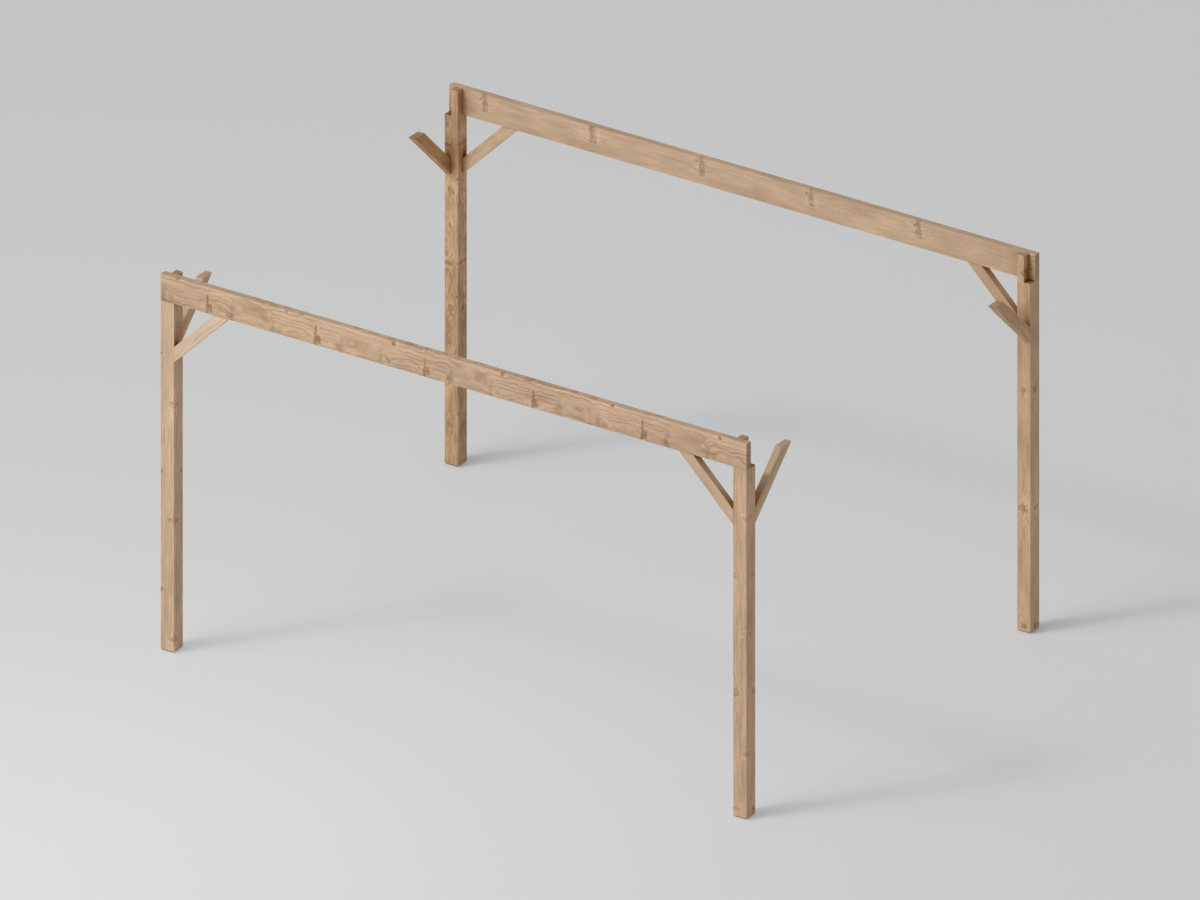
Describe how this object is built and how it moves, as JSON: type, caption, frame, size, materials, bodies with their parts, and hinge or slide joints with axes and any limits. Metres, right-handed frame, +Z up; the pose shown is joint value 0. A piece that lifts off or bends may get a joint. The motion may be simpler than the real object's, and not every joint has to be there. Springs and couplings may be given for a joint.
{
  "type": "wooden pergola of two portal frames",
  "caption": "Open timber pergola: facing portal frames of square posts, lapped beams and 45 degree knee braces, with open seats for cross-beams.",
  "frame": {"origin": "on the ground at the middle of the footprint of the four posts", "axes": "+Z up, +X along the beams, +Y from the front frame to the back frame"},
  "size_m": [4, 3, 2.375],
  "materials": {
    "post_timber": "matte",
    "beam_timber": "matte",
    "brace_timber": "matte"
  },
  "bodies": {
    "root": {"front_left_post": "post_timber", "front_right_post": "post_timber", "back_left_post": "post_timber", "back_right_post": "post_timber", "front_beam": "beam_timber", "back_beam": "beam_timber", "front_left_beam_brace": "brace_timber", "front_right_beam_brace": "brace_timber", "back_left_beam_brace": "brace_timber", "back_right_beam_brace": "brace_timber", "front_left_side_brace": "brace_timber", "front_right_side_brace": "brace_timber", "back_left_side_brace": "brace_timber", "back_right_side_brace": "brace_timber"}
  },
  "joints": []
}
